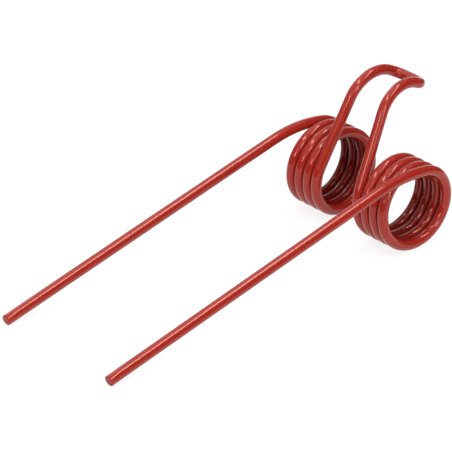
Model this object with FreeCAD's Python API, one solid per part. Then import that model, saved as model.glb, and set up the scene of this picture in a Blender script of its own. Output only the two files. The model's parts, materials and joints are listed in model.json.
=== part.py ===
import FreeCAD, Part
import math
import os

# Double spring tine for a baler pick-up: one length of round spring wire.
# Two straight fingers run into two close coils, and a hooked loop joins the coils.
# The loop is bolted to the pick-up's tine bar, and the coils give the fingers their spring.
#
# Frame, in millimetres: Y is the axis of both coils, and the origin lies on it, midway
# between them. The fingers point towards -X, and +Z is up. The tine is modelled as it rests on
# a flat surface, on its coils and the tips of its fingers, with the loop standing up.
# The two halves are alike, mirrored in the XZ plane.

# Wire
wire_diameter = 5.5
tip_edge_round = 0.5

# Coils
coil_inner_diameter = 35.0
full_turns = 3               # whole turns of each coil, besides the part turn from finger to leg
turn_gap = 0.5
coil_station = 14.5          # from the mirror plane to the wire's centre, where each coil begins
coil_step = 90.0             # the helix is drawn in steps of this much turn, in two arcs each

# Fingers
finger_length = 177.0        # the straight length, up to the easy bend that leads off the coil
finger_bend_radius = 76.0
finger_bend_angle = 24.0

# Loop
loop_lean = 39.0             # the legs lean back this far from square to the fingers
leg_length = 37.5            # the straight length of each leg
leg_taper = 4.7              # each leg closes in on the other by this angle
leg_set_radius = 30.0        # the small bend beside the coil that gives the taper
hook_radius = 18.5
hook_angle = 90.0
loop_corner_radius = 6.5

# Values that follow from the sizes above
wire_radius = wire_diameter / 2
coil_radius = coil_inner_diameter / 2 + wire_radius
coil_outer_radius = coil_radius + wire_radius
pitch = wire_diameter + turn_gap
helix_slope = math.degrees(math.atan2(pitch, 2 * math.pi * coil_radius))

origin = FreeCAD.Vector(0, 0, 0)
along_y = FreeCAD.Vector(0, 1, 0)


def heading(angle, outward_slope=0.0):
    """Unit vector at an angle in degrees from +X towards +Z, sloped outwards to -Y."""
    turn = math.radians(angle)
    slope = math.radians(outward_slope)
    return FreeCAD.Vector(math.cos(turn), 0, math.sin(turn)) * math.cos(slope) - along_y * math.sin(slope)


def run(start, direction, length):
    """A straight run of the wire's centre line: its edge, and the point where it ends."""
    end = start + direction * length
    return Part.LineSegment(start, end).toShape(), end


def bend(start, direction, new_direction, radius):
    """A round bend of the centre line between two directions: its edge, and where it ends."""
    turn = direction.getAngle(new_direction)
    inwards = (new_direction - direction * math.cos(turn)).normalize()

    def point(angle):
        return start + direction * radius * math.sin(angle) + inwards * radius * (1 - math.cos(angle))

    end = point(turn)
    return Part.Arc(start, point(turn / 2), end).toShape(), end


def resting_tilt():
    """How far the fingers slope down to their tips when coils and tips rest on one plane."""
    eased = math.radians(finger_bend_angle)
    tip_round_x = (finger_bend_radius - coil_radius) * math.sin(eased) + finger_length - tip_edge_round
    finger_height = coil_radius + (finger_bend_radius - coil_radius) * (1 - math.cos(eased))
    tip_round_z = finger_height - wire_radius + tip_edge_round
    to_plane = math.asin((coil_outer_radius - tip_edge_round) / math.hypot(tip_round_x, tip_round_z))
    return math.degrees(to_plane + math.atan2(tip_round_z, tip_round_x))


def on_coil(angle, turned):
    """Point and outward heading of the coil's helix, on the -Y side, after so many degrees of turn."""
    point = heading(angle + turned) * coil_radius - along_y * (coil_station + pitch * turned / 360)
    return point, heading(angle + turned + 90, helix_slope)


def coil_line(first_angle, turned):
    """The coil's helix from the leg outwards to the finger, as pairs of equal tangent arcs."""
    steps = math.ceil(turned / coil_step)
    edges = []
    end, direction = on_coil(first_angle, 0)
    for step in range(1, steps + 1):
        target, next_direction = on_coil(first_angle, turned * step / steps)
        chord = target - end
        lean = chord.dot(direction + next_direction)
        opening = 2 - 2 * direction.dot(next_direction)
        reach = (math.sqrt(lean ** 2 + opening * chord.dot(chord)) - lean) / opening
        middle_direction = (chord - (direction + next_direction) * reach).normalize()
        radius = reach / math.tan(direction.getAngle(middle_direction) / 2)
        for new_direction in (middle_direction, next_direction):
            arc, end = bend(end, direction, new_direction, radius)
            edges.append(arc)
            direction = new_direction
    return edges, end


def half_line():
    """The centre line on the -Y side: its edges from the finger's tip to the loop's corner."""
    finger_heading = 180 + resting_tilt()
    leg_heading = finger_heading - 90 - loop_lean
    coil_first = leg_heading + 90
    coil_last = finger_heading - finger_bend_angle - 90
    turned = (coil_last - coil_first) % 360 + 360 * full_turns

    finger = heading(finger_heading)
    off_coil = heading(finger_heading - finger_bend_angle, helix_slope)
    coil, coil_end = coil_line(coil_first, turned)
    finger_bend, finger_start = bend(coil_end, off_coil, finger, finger_bend_radius)
    straight_finger, tip = run(finger_start, finger, finger_length)

    leg = heading(leg_heading, -leg_taper)
    hooked = heading(leg_heading - hook_angle)
    coil_start, down_to_coil = on_coil(coil_first, 0)
    leg_set, leg_start = bend(coil_start, -down_to_coil, leg, leg_set_radius)
    straight_leg, leg_end = run(leg_start, leg, leg_length)
    hook, hook_end = bend(leg_end, leg, hooked, hook_radius)
    corner, corner_end = bend(hook_end, hooked, along_y, loop_corner_radius)

    edges = [straight_finger, finger_bend] + coil[::-1] + [leg_set, straight_leg, hook, corner]
    return edges, tip, finger, corner_end


def spring_tine():
    """The whole wire: a disc carried from tip to tip, with the tips' edges rounded."""
    half, tip, finger, corner_end = half_line()
    crossbar, crossbar_end = run(corner_end, along_y, -2 * corner_end.y)
    other_half = [edge.mirror(origin, along_y) for edge in reversed(half)]
    centre_line = Part.Wire(half + [crossbar] + other_half)

    section = Part.Face(Part.Wire(Part.makeCircle(wire_radius, tip, finger)))
    wire = centre_line.makePipe(section)
    tip_faces = sorted(wire.Faces, key=lambda face: face.CenterOfMass.x)[:2]
    return wire.makeFillet(tip_edge_round, [face.Edges[0] for face in tip_faces])


os.makedirs("parts", exist_ok=True)
spring_tine().exportStep("parts/spring_tine.step")
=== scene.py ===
# %% [markdown]
# # A baler pick-up tine
#
# The real part is one length of round spring wire. Two straight fingers comb the hay into the
# baler, two coils give them their spring, and a hooked loop between the coils is clamped to the
# machine. The wire is bent cold, hardened and painted a glossy red.
#
# The shape and its size come from a CAD model, which is loaded first and never moved. This lesson
# draws the same wire again with a smoother skin, paints it, and lights it as in a small studio.
# Everything is in metres, with the origin on the axis of the coils, midway between them.

import json
import math

import bmesh
import bpy
from mathutils import Matrix, Vector


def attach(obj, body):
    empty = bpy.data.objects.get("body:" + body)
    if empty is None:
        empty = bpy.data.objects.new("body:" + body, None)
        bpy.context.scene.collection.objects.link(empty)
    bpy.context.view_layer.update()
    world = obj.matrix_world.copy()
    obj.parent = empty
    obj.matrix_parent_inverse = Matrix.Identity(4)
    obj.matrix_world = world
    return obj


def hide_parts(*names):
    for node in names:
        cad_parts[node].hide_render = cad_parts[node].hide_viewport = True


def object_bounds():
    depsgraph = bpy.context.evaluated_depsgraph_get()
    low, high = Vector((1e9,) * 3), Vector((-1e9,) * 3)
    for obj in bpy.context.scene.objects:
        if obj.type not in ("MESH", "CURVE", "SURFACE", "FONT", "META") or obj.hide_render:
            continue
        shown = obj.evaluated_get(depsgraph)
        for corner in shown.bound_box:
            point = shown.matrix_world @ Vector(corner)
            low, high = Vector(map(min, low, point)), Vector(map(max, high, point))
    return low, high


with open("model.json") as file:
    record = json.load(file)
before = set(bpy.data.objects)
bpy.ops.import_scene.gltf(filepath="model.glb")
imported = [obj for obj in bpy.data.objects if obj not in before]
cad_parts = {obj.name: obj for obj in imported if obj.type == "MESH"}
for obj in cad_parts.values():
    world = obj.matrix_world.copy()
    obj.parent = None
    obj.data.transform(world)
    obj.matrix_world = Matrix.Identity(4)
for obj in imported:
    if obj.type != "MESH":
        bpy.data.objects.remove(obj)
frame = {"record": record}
cad_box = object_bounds()

MM = 0.001


def in_mm(lengths):
    """Lengths in metres, turned into rounded millimetres to print."""
    return [round(length / MM, 2) for length in lengths]


print("CAD box, mm:", [in_mm(corner) for corner in cad_box])

# %% [markdown]
# ## The wire's line
#
# A wire form is a tube whose middle line is known. It could be a curve with a round bevel, but a
# curve's bevel stretches in tight corners and gives no say over the ends. Here one ring of points
# is carried along instead, as the wire itself once came off the coiling machine: a straight run
# pushes the ring forward, and a bend swings it about an axis. A coil is a long bend that also
# creeps sideways. Only half of the tine is drawn, and the other half is its mirror image.
#
# The sizes are those of the real part, in millimetres.

# %% Sizes of the wire
wire_radius = 2.75 * MM
coil_radius = 20.25 * MM           # from the coil's axis to the middle of the wire
coil_pitch = 6.0 * MM              # each turn lies this much further out than the last
coil_station = 14.5 * MM           # from the mirror plane to where the coil begins
full_turns = 3

finger_length = 177.0 * MM
finger_bend_radius = 76.0 * MM
finger_bend_angle = math.radians(24.0)
tip_edge_round = 0.5 * MM

loop_lean = math.radians(39.0)
leg_length = 37.5 * MM
leg_taper = math.radians(4.7)
leg_set_radius = 30.0 * MM
hook_radius = 18.5 * MM
hook_angle = math.radians(90.0)
corner_radius = 6.5 * MM

# %% Directions
ALONG_Y = Vector((0.0, 1.0, 0.0))
ALONG_Z = Vector((0.0, 0.0, 1.0))

mounts = frame["record"]["mounts"]
finger_mount = next(mount for mount in mounts if mount["name"] == "finger_left")
finger_heading = math.atan2(finger_mount["axis"][2], finger_mount["axis"][0]) % math.tau
helix_slope = math.atan2(coil_pitch, math.tau * coil_radius)


def heading(angle, outward_slope=0.0):
    """Unit vector at an angle from +X towards +Z, sloped outwards to -Y."""
    flat = Vector((math.cos(angle), 0.0, math.sin(angle)))
    return flat * math.cos(outward_slope) - ALONG_Y * math.sin(outward_slope)


print("fingers slope down by", round(math.degrees(finger_heading) - 180.0, 2), "degrees")

# %% [markdown]
# ## Carrying a ring along
#
# `bmesh.ops.extrude_edge_only` copies the ring's edges and joins old and new with a band of faces.
# The copy is then turned about an axis and shifted. Small steps make a bend look round: the eye
# sees a corner in a glossy highlight long before it sees it in the outline, so each step of a
# bend turns by only a few degrees.

# %% The ring and how it moves
ring_points = 48
bend_step = math.radians(3.75)
fewest_steps = 4                   # for a bend of a few degrees
straight_step = 6.0 * MM


def start_ring(bm, place, direction):
    """Starts an empty mesh with a ring round a point of the middle line, square to the wire."""
    turn = ALONG_Z.rotation_difference(direction).to_matrix().to_4x4()
    bmesh.ops.create_circle(
        bm, cap_ends=False, segments=ring_points, radius=wire_radius,
        matrix=Matrix.Translation(place) @ turn,
    )
    return bm.edges[:]


def carry(bm, ring, steps, shift, pivot=None, turn=None):
    """Copies the ring onwards so many times, turned about the pivot and shifted at each step."""
    for _ in range(steps):
        made = bmesh.ops.extrude_edge_only(bm, edges=ring)["geom"]
        verts = [item for item in made if isinstance(item, bmesh.types.BMVert)]
        moved = set(verts)
        if turn is not None:
            bmesh.ops.rotate(bm, verts=verts, cent=pivot, matrix=turn)
        bmesh.ops.translate(bm, verts=verts, vec=shift)
        ring = [
            item for item in made
            if isinstance(item, bmesh.types.BMEdge) and set(item.verts) <= moved
        ]
    return ring


def run(bm, end, length):
    """A straight run from an end, which is a ring, its middle and its direction."""
    ring, place, direction = end
    steps = max(1, round(length / straight_step))
    ring = carry(bm, ring, steps, direction * length / steps)
    return ring, place + direction * length, direction


def bend(bm, end, new_direction, radius):
    """A round bend from one direction to another."""
    ring, place, direction = end
    angle = direction.angle(new_direction)
    inwards = (new_direction - direction * math.cos(angle)).normalized()
    pivot = place + inwards * radius
    axis = direction.cross(new_direction).normalized()
    steps = max(fewest_steps, math.ceil(angle / bend_step))
    turn = Matrix.Rotation(angle / steps, 3, axis)
    ring = carry(bm, ring, steps, Vector(), pivot, turn)
    whole_turn = Matrix.Rotation(angle, 3, axis)
    return ring, pivot + whole_turn @ (place - pivot), new_direction


def coil(bm, end, angle):
    """The coil, wound from the loop outwards: a bend about the Y axis that creeps along it."""
    ring, place, direction = end
    steps = math.ceil(angle / bend_step)
    creep = -ALONG_Y * coil_pitch * angle / math.tau
    turn = Matrix.Rotation(-angle / steps, 3, "Y")
    ring = carry(bm, ring, steps, creep / steps, Vector(), turn)
    whole_turn = Matrix.Rotation(-angle, 3, "Y")
    return ring, whole_turn @ place + creep, whole_turn @ direction


# %% [markdown]
# ## The sheared tip
#
# The wire was cut off in a shear, which leaves a flat end whose edge is a little worn down. The
# last ring is filled, and a small bevel rounds the edge. A narrow inset keeps the flat end flat
# when the mesh is shaded smooth.

# %% Close and round the tip
tip_round_segments = 6
tip_flat_inset = 0.25 * MM


def close_tip(bm, ring):
    """Fills the last ring, rounds its edge, and frames the flat end with a narrow inset."""
    bmesh.ops.contextual_create(bm, geom=ring)
    bmesh.ops.bevel(
        bm, geom=ring, offset=tip_edge_round, segments=tip_round_segments, profile=0.5,
        affect="EDGES", material=-1, clamp_overlap=True,
    )
    end = max(bm.faces, key=lambda face: len(face.verts))
    bmesh.ops.inset_region(bm, faces=[end], thickness=tip_flat_inset, use_even_offset=True)
    flat_radius = (end.verts[0].co - end.calc_center_median()).length
    print("flat end inside the inset, mm across:", in_mm([2 * flat_radius]))


# %% [markdown]
# ## From the coil outwards, and from the coil to the loop
#
# Both ways start from the ring where the coil begins, beside the loop's leg. Outwards come the
# coil, the easy bend and the straight finger. The other way come the small bend that sets the
# leg, the leg, the hook, the tight corner and half of the crossbar, which ends in the mirror plane.

# %% Draw one half
leg_heading = finger_heading - math.pi / 2 - loop_lean
coil_first = leg_heading + math.pi / 2
coil_last = finger_heading - finger_bend_angle - math.pi / 2
coil_turned = (coil_last - coil_first) % math.tau + math.tau * full_turns

coil_start = heading(coil_first) * coil_radius - ALONG_Y * coil_station
outwards = heading(coil_first + math.pi / 2, helix_slope)

wire = bmesh.new()
first_ring = start_ring(wire, coil_start, outwards)

coil_end = coil(wire, (first_ring, coil_start, outwards), coil_turned)
finger_start = bend(wire, coil_end, heading(finger_heading), finger_bend_radius)
tip_ring, tip, finger_direction = run(wire, finger_start, finger_length)
close_tip(wire, tip_ring)
print("tip, mm:", in_mm(tip))

leg_direction = heading(leg_heading, -leg_taper)
leg_start = bend(wire, (first_ring, coil_start, -outwards), leg_direction, leg_set_radius)
leg_end = run(wire, leg_start, leg_length)
hook_end = bend(wire, leg_end, heading(leg_heading - hook_angle), hook_radius)
corner_end = bend(wire, hook_end, ALONG_Y, corner_radius)
run(wire, corner_end, -corner_end[1].y)
print("crossbar, mm:", in_mm(corner_end[1]))

# %% [markdown]
# ## The other half
#
# `bmesh.ops.mirror` copies the half over the plane between the coils and welds the crossbar. The
# copy is inside out, as every mirror image is, so the normals are worked out again at the end.

# %% Mirror, weld and make the object
weld_distance = 0.002 * MM

bmesh.ops.mirror(
    wire, geom=wire.verts[:] + wire.edges[:] + wire.faces[:],
    matrix=Matrix.Identity(4), merge_dist=weld_distance, axis="Y",
)
bmesh.ops.remove_doubles(wire, verts=wire.verts, dist=weld_distance)
bmesh.ops.recalc_face_normals(wire, faces=wire.faces)
open_edges = [edge for edge in wire.edges if not edge.is_manifold]
print("faces:", len(wire.faces), "open edges:", len(open_edges))
print("volume, cubic mm:", round(wire.calc_volume() / MM ** 3, 1))

mesh = bpy.data.meshes.new("tine_wire")
wire.to_mesh(mesh)
wire.free()
mesh.shade_smooth()
tine_wire = bpy.data.objects.new("tine_wire", mesh)
bpy.context.scene.collection.objects.link(tine_wire)

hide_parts("spring_tine")
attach(tine_wire, "root")

# %% [markdown]
# ## Glossy red enamel
#
# The finish is a baked enamel, sprayed on after the wire was shot clean. The eye reads it by its
# narrow highlights, the deep even red between them, and by how little the surface waves. One
# Principled shader holds all of it: the red is its base colour, and its specular layer is the
# smooth skin of the paint. The pigment lies close under that skin and warms the highlights, so the
# specular tint is a pale salmon. A slow noise lets the red drift by a shade, as sprayed paint does.
#
# A faint bump stands for orange peel, the dimpled skin that sprayed paint dries to. Its dimples on
# the real wire are one to two millimetres across, and very shallow, or the streaks would break up.

# %% Colours and nodes
def linear(hex_colour):
    """A colour written as sRGB hex, turned into the linear values that shaders use."""
    channels = [int(hex_colour[i:i + 2], 16) / 255 for i in (1, 3, 5)]
    return [c / 12.92 if c <= 0.04045 else ((c + 0.055) / 1.055) ** 2.4 for c in channels] + [1.0]


def grey(value):
    """A neutral colour, given as its linear value."""
    return [value] * 3 + [1.0]


def add_node(tree, kind, settings=None, links=None, values=None):
    """Adds a node: its settings, the sockets that feed it, and the values of the others."""
    node = tree.nodes.new(kind)
    for name, value in (settings or {}).items():
        setattr(node, name, value)
    for name, value in (values or {}).items():
        node.inputs[name].default_value = value
    for name, socket in (links or {}).items():
        tree.links.new(socket, node.inputs[name])
    return node


def new_material(name):
    """An empty node material and its tree."""
    material = bpy.data.materials.new(name)
    material.use_nodes = True
    material.node_tree.nodes.clear()
    return material, material.node_tree


# %% Enamel
enamel_ior = 1.58                  # typical paint is 1.5: this one shows slightly stronger streaks
enamel_roughness = 0.07
gloss_tint = linear("#FFD0C4")
red_shade, red_light = linear("#9B2318"), linear("#A3261A")
cloud_size = 14.0 * MM
cloud_detail, cloud_roughness = 3.0, 0.5
peel_size = 2.0 * MM               # the finer half of the noise is a millimetre across
peel_detail, peel_roughness = 1.0, 0.4
peel_height = 0.0015 * MM

enamel, tree = new_material("glossy_red_enamel")
place = add_node(tree, "ShaderNodeTexCoord")
clouds = add_node(
    tree, "ShaderNodeTexNoise", links={"Vector": place.outputs["Object"]},
    values={"Scale": 1.0 / cloud_size, "Detail": cloud_detail, "Roughness": cloud_roughness},
)
red = add_node(
    tree, "ShaderNodeMix", {"data_type": "RGBA"}, links={"Factor": clouds.outputs["Fac"]},
    values={"A": red_shade, "B": red_light},
)
peel = add_node(
    tree, "ShaderNodeTexNoise", links={"Vector": place.outputs["Object"]},
    values={"Scale": 1.0 / peel_size, "Detail": peel_detail, "Roughness": peel_roughness},
)
skin = add_node(
    tree, "ShaderNodeBump", links={"Height": peel.outputs["Fac"]},
    values={"Strength": 1.0, "Distance": peel_height},
)

# %% [markdown]
# ## Painted shade in the bores
#
# The inner sides of the coils' bores are painted a darker red, as shade that falls there. How dark
# that is depends on two things. One is the distance from the coils' axis, because only the inner
# side of a turn is darkened. The other is the place along the axis: the far coil's bore is darker
# than the near one's, and the darkening fades out beside the loop and at the outer end of the near
# coil. Both are read from Object coordinates, so the pattern stays on the wire whatever the view.

# %% Painted shade in the bores
# the dark red that is painted onto the bores' inner sides as shade
bore_shade = linear("#5A0706")
bore_inside, bore_outside = 19.0 * MM, 21.5 * MM
without_y = (1.0, 0.0, 1.0)
reach = 40.0 * MM                  # the ramp runs along Y this far to each side
shade_along_y = (               # the place along Y in millimetres, and how deep the painted shade is
    (-36.0, 0.0), (-27.0, 0.55), (-16.0, 0.55), (-13.0, 0.0), (14.0, 0.0), (23.0, 0.77),
)

flat = add_node(
    tree, "ShaderNodeVectorMath", {"operation": "MULTIPLY"},
    links={0: place.outputs["Object"]}, values={1: without_y},
)
from_axis = add_node(
    tree, "ShaderNodeVectorMath", {"operation": "LENGTH"}, links={0: flat.outputs["Vector"]},
)
inner_side = add_node(
    tree, "ShaderNodeMapRange", {"interpolation_type": "SMOOTHSTEP"},
    links={"Value": from_axis.outputs["Value"]},
    values={"From Min": bore_inside, "From Max": bore_outside, "To Min": 1.0, "To Max": 0.0},
)
axes = add_node(tree, "ShaderNodeSeparateXYZ", links={"Vector": place.outputs["Object"]})
along = add_node(
    tree, "ShaderNodeMapRange", links={"Value": axes.outputs["Y"]},
    values={"From Min": -reach, "From Max": reach},
)
shade_ramp = add_node(tree, "ShaderNodeValToRGB", links={"Fac": along.outputs["Result"]})
stops = shade_ramp.color_ramp.elements
stops.remove(stops[1])
for index, (y, shade_depth) in enumerate(shade_along_y):
    position = (y * MM + reach) / (2 * reach)
    stop = stops[0] if index == 0 else stops.new(position)
    stop.position = position
    stop.color = grey(shade_depth)
shade_amount = add_node(
    tree, "ShaderNodeMath", {"operation": "MULTIPLY"},
    links={0: inner_side.outputs["Result"], 1: shade_ramp.outputs["Color"]},
)
# painted shade: the red turns towards the dark red inside the bores, where shade falls
colour = add_node(
    tree, "ShaderNodeMix", {"data_type": "RGBA"},
    links={"Factor": shade_amount.outputs["Value"], "A": red.outputs["Result"]}, values={"B": bore_shade},
)
paint = add_node(
    tree, "ShaderNodeBsdfPrincipled",
    links={"Base Color": colour.outputs["Result"], "Normal": skin.outputs["Normal"]},
    values={"Roughness": enamel_roughness, "IOR": enamel_ior, "Specular Tint": gloss_tint},
)
add_node(tree, "ShaderNodeOutputMaterial", links={"Surface": paint.outputs["BSDF"]})
mesh.materials.append(enamel)

# %% [markdown]
# ## Dull enamel in the far bore and on the sheared ends
#
# In the far coil's bore the paint gets a weaker gloss as painted shade: it dims what the paint
# mirrors there, where shade falls, so the eye sees weak glints over a deep colour. The two flat
# ends get the same duller gloss. A gloss that changes over the surface is lost when the model is
# exported, so these faces get a copy of the enamel with a lower specular level. In the bore the
# change falls where the turns face each other, so it can't be seen.

# %% Dull the far bore and the ends
dull_level = 0.2                   # the glossy enamel has 0.5, the shader's own level
dull_within = 19.5 * MM
end_depth = 0.05 * MM

# a copy of the enamel with a weaker gloss: painted shade in the far bore, a duller gloss on the
# flat ends
weak_gloss_enamel = enamel.copy()
weak_gloss_enamel.name = "weak_gloss_and_bore_shade"
dull_paint = next(node for node in weak_gloss_enamel.node_tree.nodes if node.type == "BSDF_PRINCIPLED")
dull_paint.inputs["Specular IOR Level"].default_value = dull_level
mesh.materials.append(weak_gloss_enamel)
for face in mesh.polygons:
    in_far_bore = face.center.y > 0.0 and math.hypot(face.center.x, face.center.z) < dull_within
    on_end = (face.center - tip).dot(finger_direction) > -end_depth
    if in_far_bore or on_end:
        face.material_index = 1
print("faces of dull enamel:", sum(face.material_index for face in mesh.polygons))

# %% [markdown]
# ## The studio
#
# The part lies on a plain white floor under soft lamps. The floor has to look white to the camera
# and in the paint's reflections, yet keep a trace of the part's shadow. So what those rays see is
# part diffuse, which catches the shadow, and part glow. The light that bounces from the floor up
# to the part comes from a plain matt white instead.

# %% Floor
floor_half_width = 3.0
floor_height = cad_box[0].z
floor_glow = 0.84
floor_catch = 0.22
floor_white = 0.80

floor_mesh = bpy.data.meshes.new("floor")
floor_form = bmesh.new()
bmesh.ops.create_grid(
    floor_form, x_segments=1, y_segments=1, size=floor_half_width,
    matrix=Matrix.Translation((0.0, 0.0, floor_height)),
)
floor_form.to_mesh(floor_mesh)
floor_form.free()
floor = bpy.data.objects.new("floor", floor_mesh)
bpy.context.scene.collection.objects.link(floor)


def seen_rays(tree):
    """1 for the rays that look at a thing: from the camera, off gloss and through glass."""
    path = add_node(tree, "ShaderNodeLightPath")
    either = add_node(
        tree, "ShaderNodeMath", {"operation": "MAXIMUM"},
        links={0: path.outputs["Is Camera Ray"], 1: path.outputs["Is Glossy Ray"]},
    )
    return add_node(
        tree, "ShaderNodeMath", {"operation": "MAXIMUM"},
        links={0: either.outputs["Value"], 1: path.outputs["Is Transmission Ray"]},
    ).outputs["Value"]


floor_paper, tree = new_material("white_floor")
seen = seen_rays(tree)
matt = add_node(tree, "ShaderNodeBsdfDiffuse", values={"Color": grey(floor_white)})
shaded = add_node(tree, "ShaderNodeBsdfDiffuse", values={"Color": grey(floor_catch)})
glow = add_node(tree, "ShaderNodeEmission", values={"Strength": floor_glow})
bright = add_node(
    tree, "ShaderNodeAddShader",
    links={0: shaded.outputs["BSDF"], 1: glow.outputs["Emission"]},
)
both = add_node(
    tree, "ShaderNodeMixShader",
    links={0: seen, 1: matt.outputs["BSDF"], 2: bright.outputs["Shader"]},
)
add_node(tree, "ShaderNodeOutputMaterial", links={"Surface": both.outputs["Shader"]})
floor_mesh.materials.append(floor_paper)

# %% [markdown]
# ## Light
#
# Glossy wire shows its lamps as thin streaks, so the lamps' shape and place matter more than
# their number. A room that looks white gives part of the even light, at a lower level than it
# shows. Two long soft boxes hang overhead, one towards the loop and one towards the tips, and draw
# the bright streaks on the upper side of the wire. Where the wire bends, a streak breaks off as the
# reflection leaves its box. Wide, weak panels fill the ceiling and the front. Beside the camera,
# two narrow slanted boxes, one on the left and one on the right, draw the streaks down the legs and
# inside the coils, and a tall box behind edges the far turns. The back fill lights the red alone,
# so that the tine isn't dull from behind.
#
# Two dark curved cards stand round the part, a tall one on the right and a low one round the left.
# Each begins as a foot that lies on the floor, so that only the floor near the part looks white in
# the paint. The cards show in the gloss alone. The front and the sides of the wire mirror them,
# which keeps the red deep there, as a photographer does with black card.

# %% World
room_light = 0.27
room_look = 1.0

world = bpy.data.worlds.new("white_room")
bpy.context.scene.world = world
world.use_nodes = True
tree = world.node_tree
tree.nodes.clear()
seen = seen_rays(tree)
level = add_node(
    tree, "ShaderNodeMix", {"data_type": "FLOAT"}, links={"Factor": seen},
    values={"A": room_light, "B": room_look},
)
room = add_node(tree, "ShaderNodeBackground", links={"Strength": level.outputs["Result"]})
add_node(tree, "ShaderNodeOutputWorld", links={"Surface": room.outputs["Background"]})

# %% Soft boxes
def soft_box(name, place, long_side, size, radiance, in_gloss=True):
    """A rectangular lamp that faces the part. Radiance is how bright its face looks."""
    outward = Vector(place).normalized()
    across = Vector(long_side).cross(outward).normalized()
    turned = Matrix((across, outward.cross(across), outward)).transposed().to_4x4()
    width, length = size
    lamp = bpy.data.lights.new(name, "AREA")
    lamp.shape = "RECTANGLE"
    lamp.size, lamp.size_y = width, length
    lamp.energy = radiance * math.pi * width * length
    holder = bpy.data.objects.new(name, lamp)
    holder.matrix_world = Matrix.Translation(place) @ turned
    holder.visible_camera = False
    holder.visible_glossy = in_gloss
    bpy.context.scene.collection.objects.link(holder)


# Each lamp: its place, its long side's direction, its width and length, and its radiance.
soft_box("loop_side_box", (0.43, -1.08, 2.60), (0.31, 1.0, 0.0), (0.46, 2.90), 8.2)
soft_box("tip_side_box", (-1.27, -0.15, 2.60), (0.18, 1.0, 0.0), (0.46, 2.30), 7.4)
soft_box("ceiling_panel", (-0.30, 0.90, 2.60), (0.0, 1.0, 0.0), (2.60, 3.40), 0.6)
soft_box("front_panel", (-1.60, -1.60, 1.30), (1.0, -1.0, 0.0), (1.50, 2.60), 0.5)
soft_box("front_left_box", (-2.12, -0.78, 0.75), (-0.05, 0.60, 0.76), (0.42, 0.90), 7.0)
soft_box("front_right_box", (-0.68, -2.02, 0.76), (-0.862, 0.732, 1.175), (0.34, 1.55), 4.6)
soft_box("back_box", (0.42, 2.20, 0.85), (0.0, 0.0, 1.0), (0.45, 1.50), 2.6)
soft_box("back_fill", (2.10, 0.90, 0.90), (0.0, 0.0, 1.0), (2.20, 1.80), 1.1, in_gloss=False)

# %% Dark screens round the part
screen_level = 0.15
foot_reach = 0.30                  # the foot lies on the floor from this far out
foot_lift = 1.0 * MM
arc_steps = 32

dark_card, tree = new_material("dark_card")
card = add_node(tree, "ShaderNodeEmission", values={"Strength": screen_level})
add_node(tree, "ShaderNodeOutputMaterial", links={"Surface": card.outputs["Emission"]})


def screen(name, radius, height, first, turn):
    """A curved card that lies on the floor and then stands up, seen only in the gloss."""
    form = bmesh.new()
    away = Vector((math.cos(first), math.sin(first), 0.0))
    low, high = ALONG_Z * (floor_height + foot_lift), ALONG_Z * (floor_height + height)
    corners = [
        bmesh.ops.create_vert(form, co=corner)["vert"][0]
        for corner in (away * foot_reach + low, away * radius + low, away * radius + high)
    ]
    bmesh.ops.contextual_create(form, geom=corners[:2])
    bmesh.ops.contextual_create(form, geom=corners[1:])
    bmesh.ops.spin(
        form, geom=form.verts[:] + form.edges[:], cent=Vector(),
        axis=ALONG_Z, angle=turn, steps=arc_steps, dvec=Vector(),
    )
    print("faces of", name, len(form.faces))
    card_mesh = bpy.data.meshes.new(name)
    form.to_mesh(card_mesh)
    form.free()
    card_mesh.materials.append(dark_card)
    stood = bpy.data.objects.new(name, card_mesh)
    bpy.context.scene.collection.objects.link(stood)
    stood.visible_camera = False
    stood.visible_diffuse = False
    stood.visible_shadow = False


# Each screen: its radius and height, where it begins, and how far it goes round.
screen("tall_screen", 1.0, 1.25, math.radians(-85.0), math.radians(110.0))
screen("low_screen", 1.6, 0.41, math.radians(97.0), math.radians(150.0))

# %% [markdown]
# ## The camera
#
# A long lens from well back keeps the two fingers nearly parallel, as the photograph shows them.
# The camera's place is given by its azimuth and elevation about the part, and by the point of the
# part that lies in the middle of the picture.

# %% Camera
camera_azimuth = math.radians(-41.86)
camera_elevation = math.radians(27.91)
camera_roll = math.radians(0.29)
camera_distance = 1760.2 * MM
middle_right = -70.07 * MM         # the picture's middle, from the origin, as the camera sees it
middle_up = -21.44 * MM
picture_width = 452
focal_length_pixels = 3521.0
sensor_width = 36.0
nearest_seen, farthest_seen = 0.05, 50.0

back = Vector((
    math.sin(camera_azimuth) * math.cos(camera_elevation),
    -math.cos(camera_azimuth) * math.cos(camera_elevation),
    math.sin(camera_elevation),
))
level_right = Vector((math.cos(camera_azimuth), math.sin(camera_azimuth), 0.0))
level_up = back.cross(level_right)
right = level_right * math.cos(camera_roll) + level_up * math.sin(camera_roll)
up = level_up * math.cos(camera_roll) - level_right * math.sin(camera_roll)

camera = bpy.data.objects.new("camera", bpy.data.cameras.new("camera"))
camera.data.sensor_width = sensor_width
camera.data.lens = focal_length_pixels / picture_width * sensor_width
camera.data.clip_start = nearest_seen
camera.data.clip_end = farthest_seen
camera_place = right * middle_right + up * middle_up + back * camera_distance
turned = Matrix((right, up, back)).transposed().to_4x4()
camera.matrix_world = Matrix.Translation(camera_place) @ turned
bpy.context.scene.collection.objects.link(camera)
bpy.context.scene.camera = camera
bpy.context.scene.view_settings.view_transform = "Standard"
print("lens, mm:", round(camera.data.lens, 1))
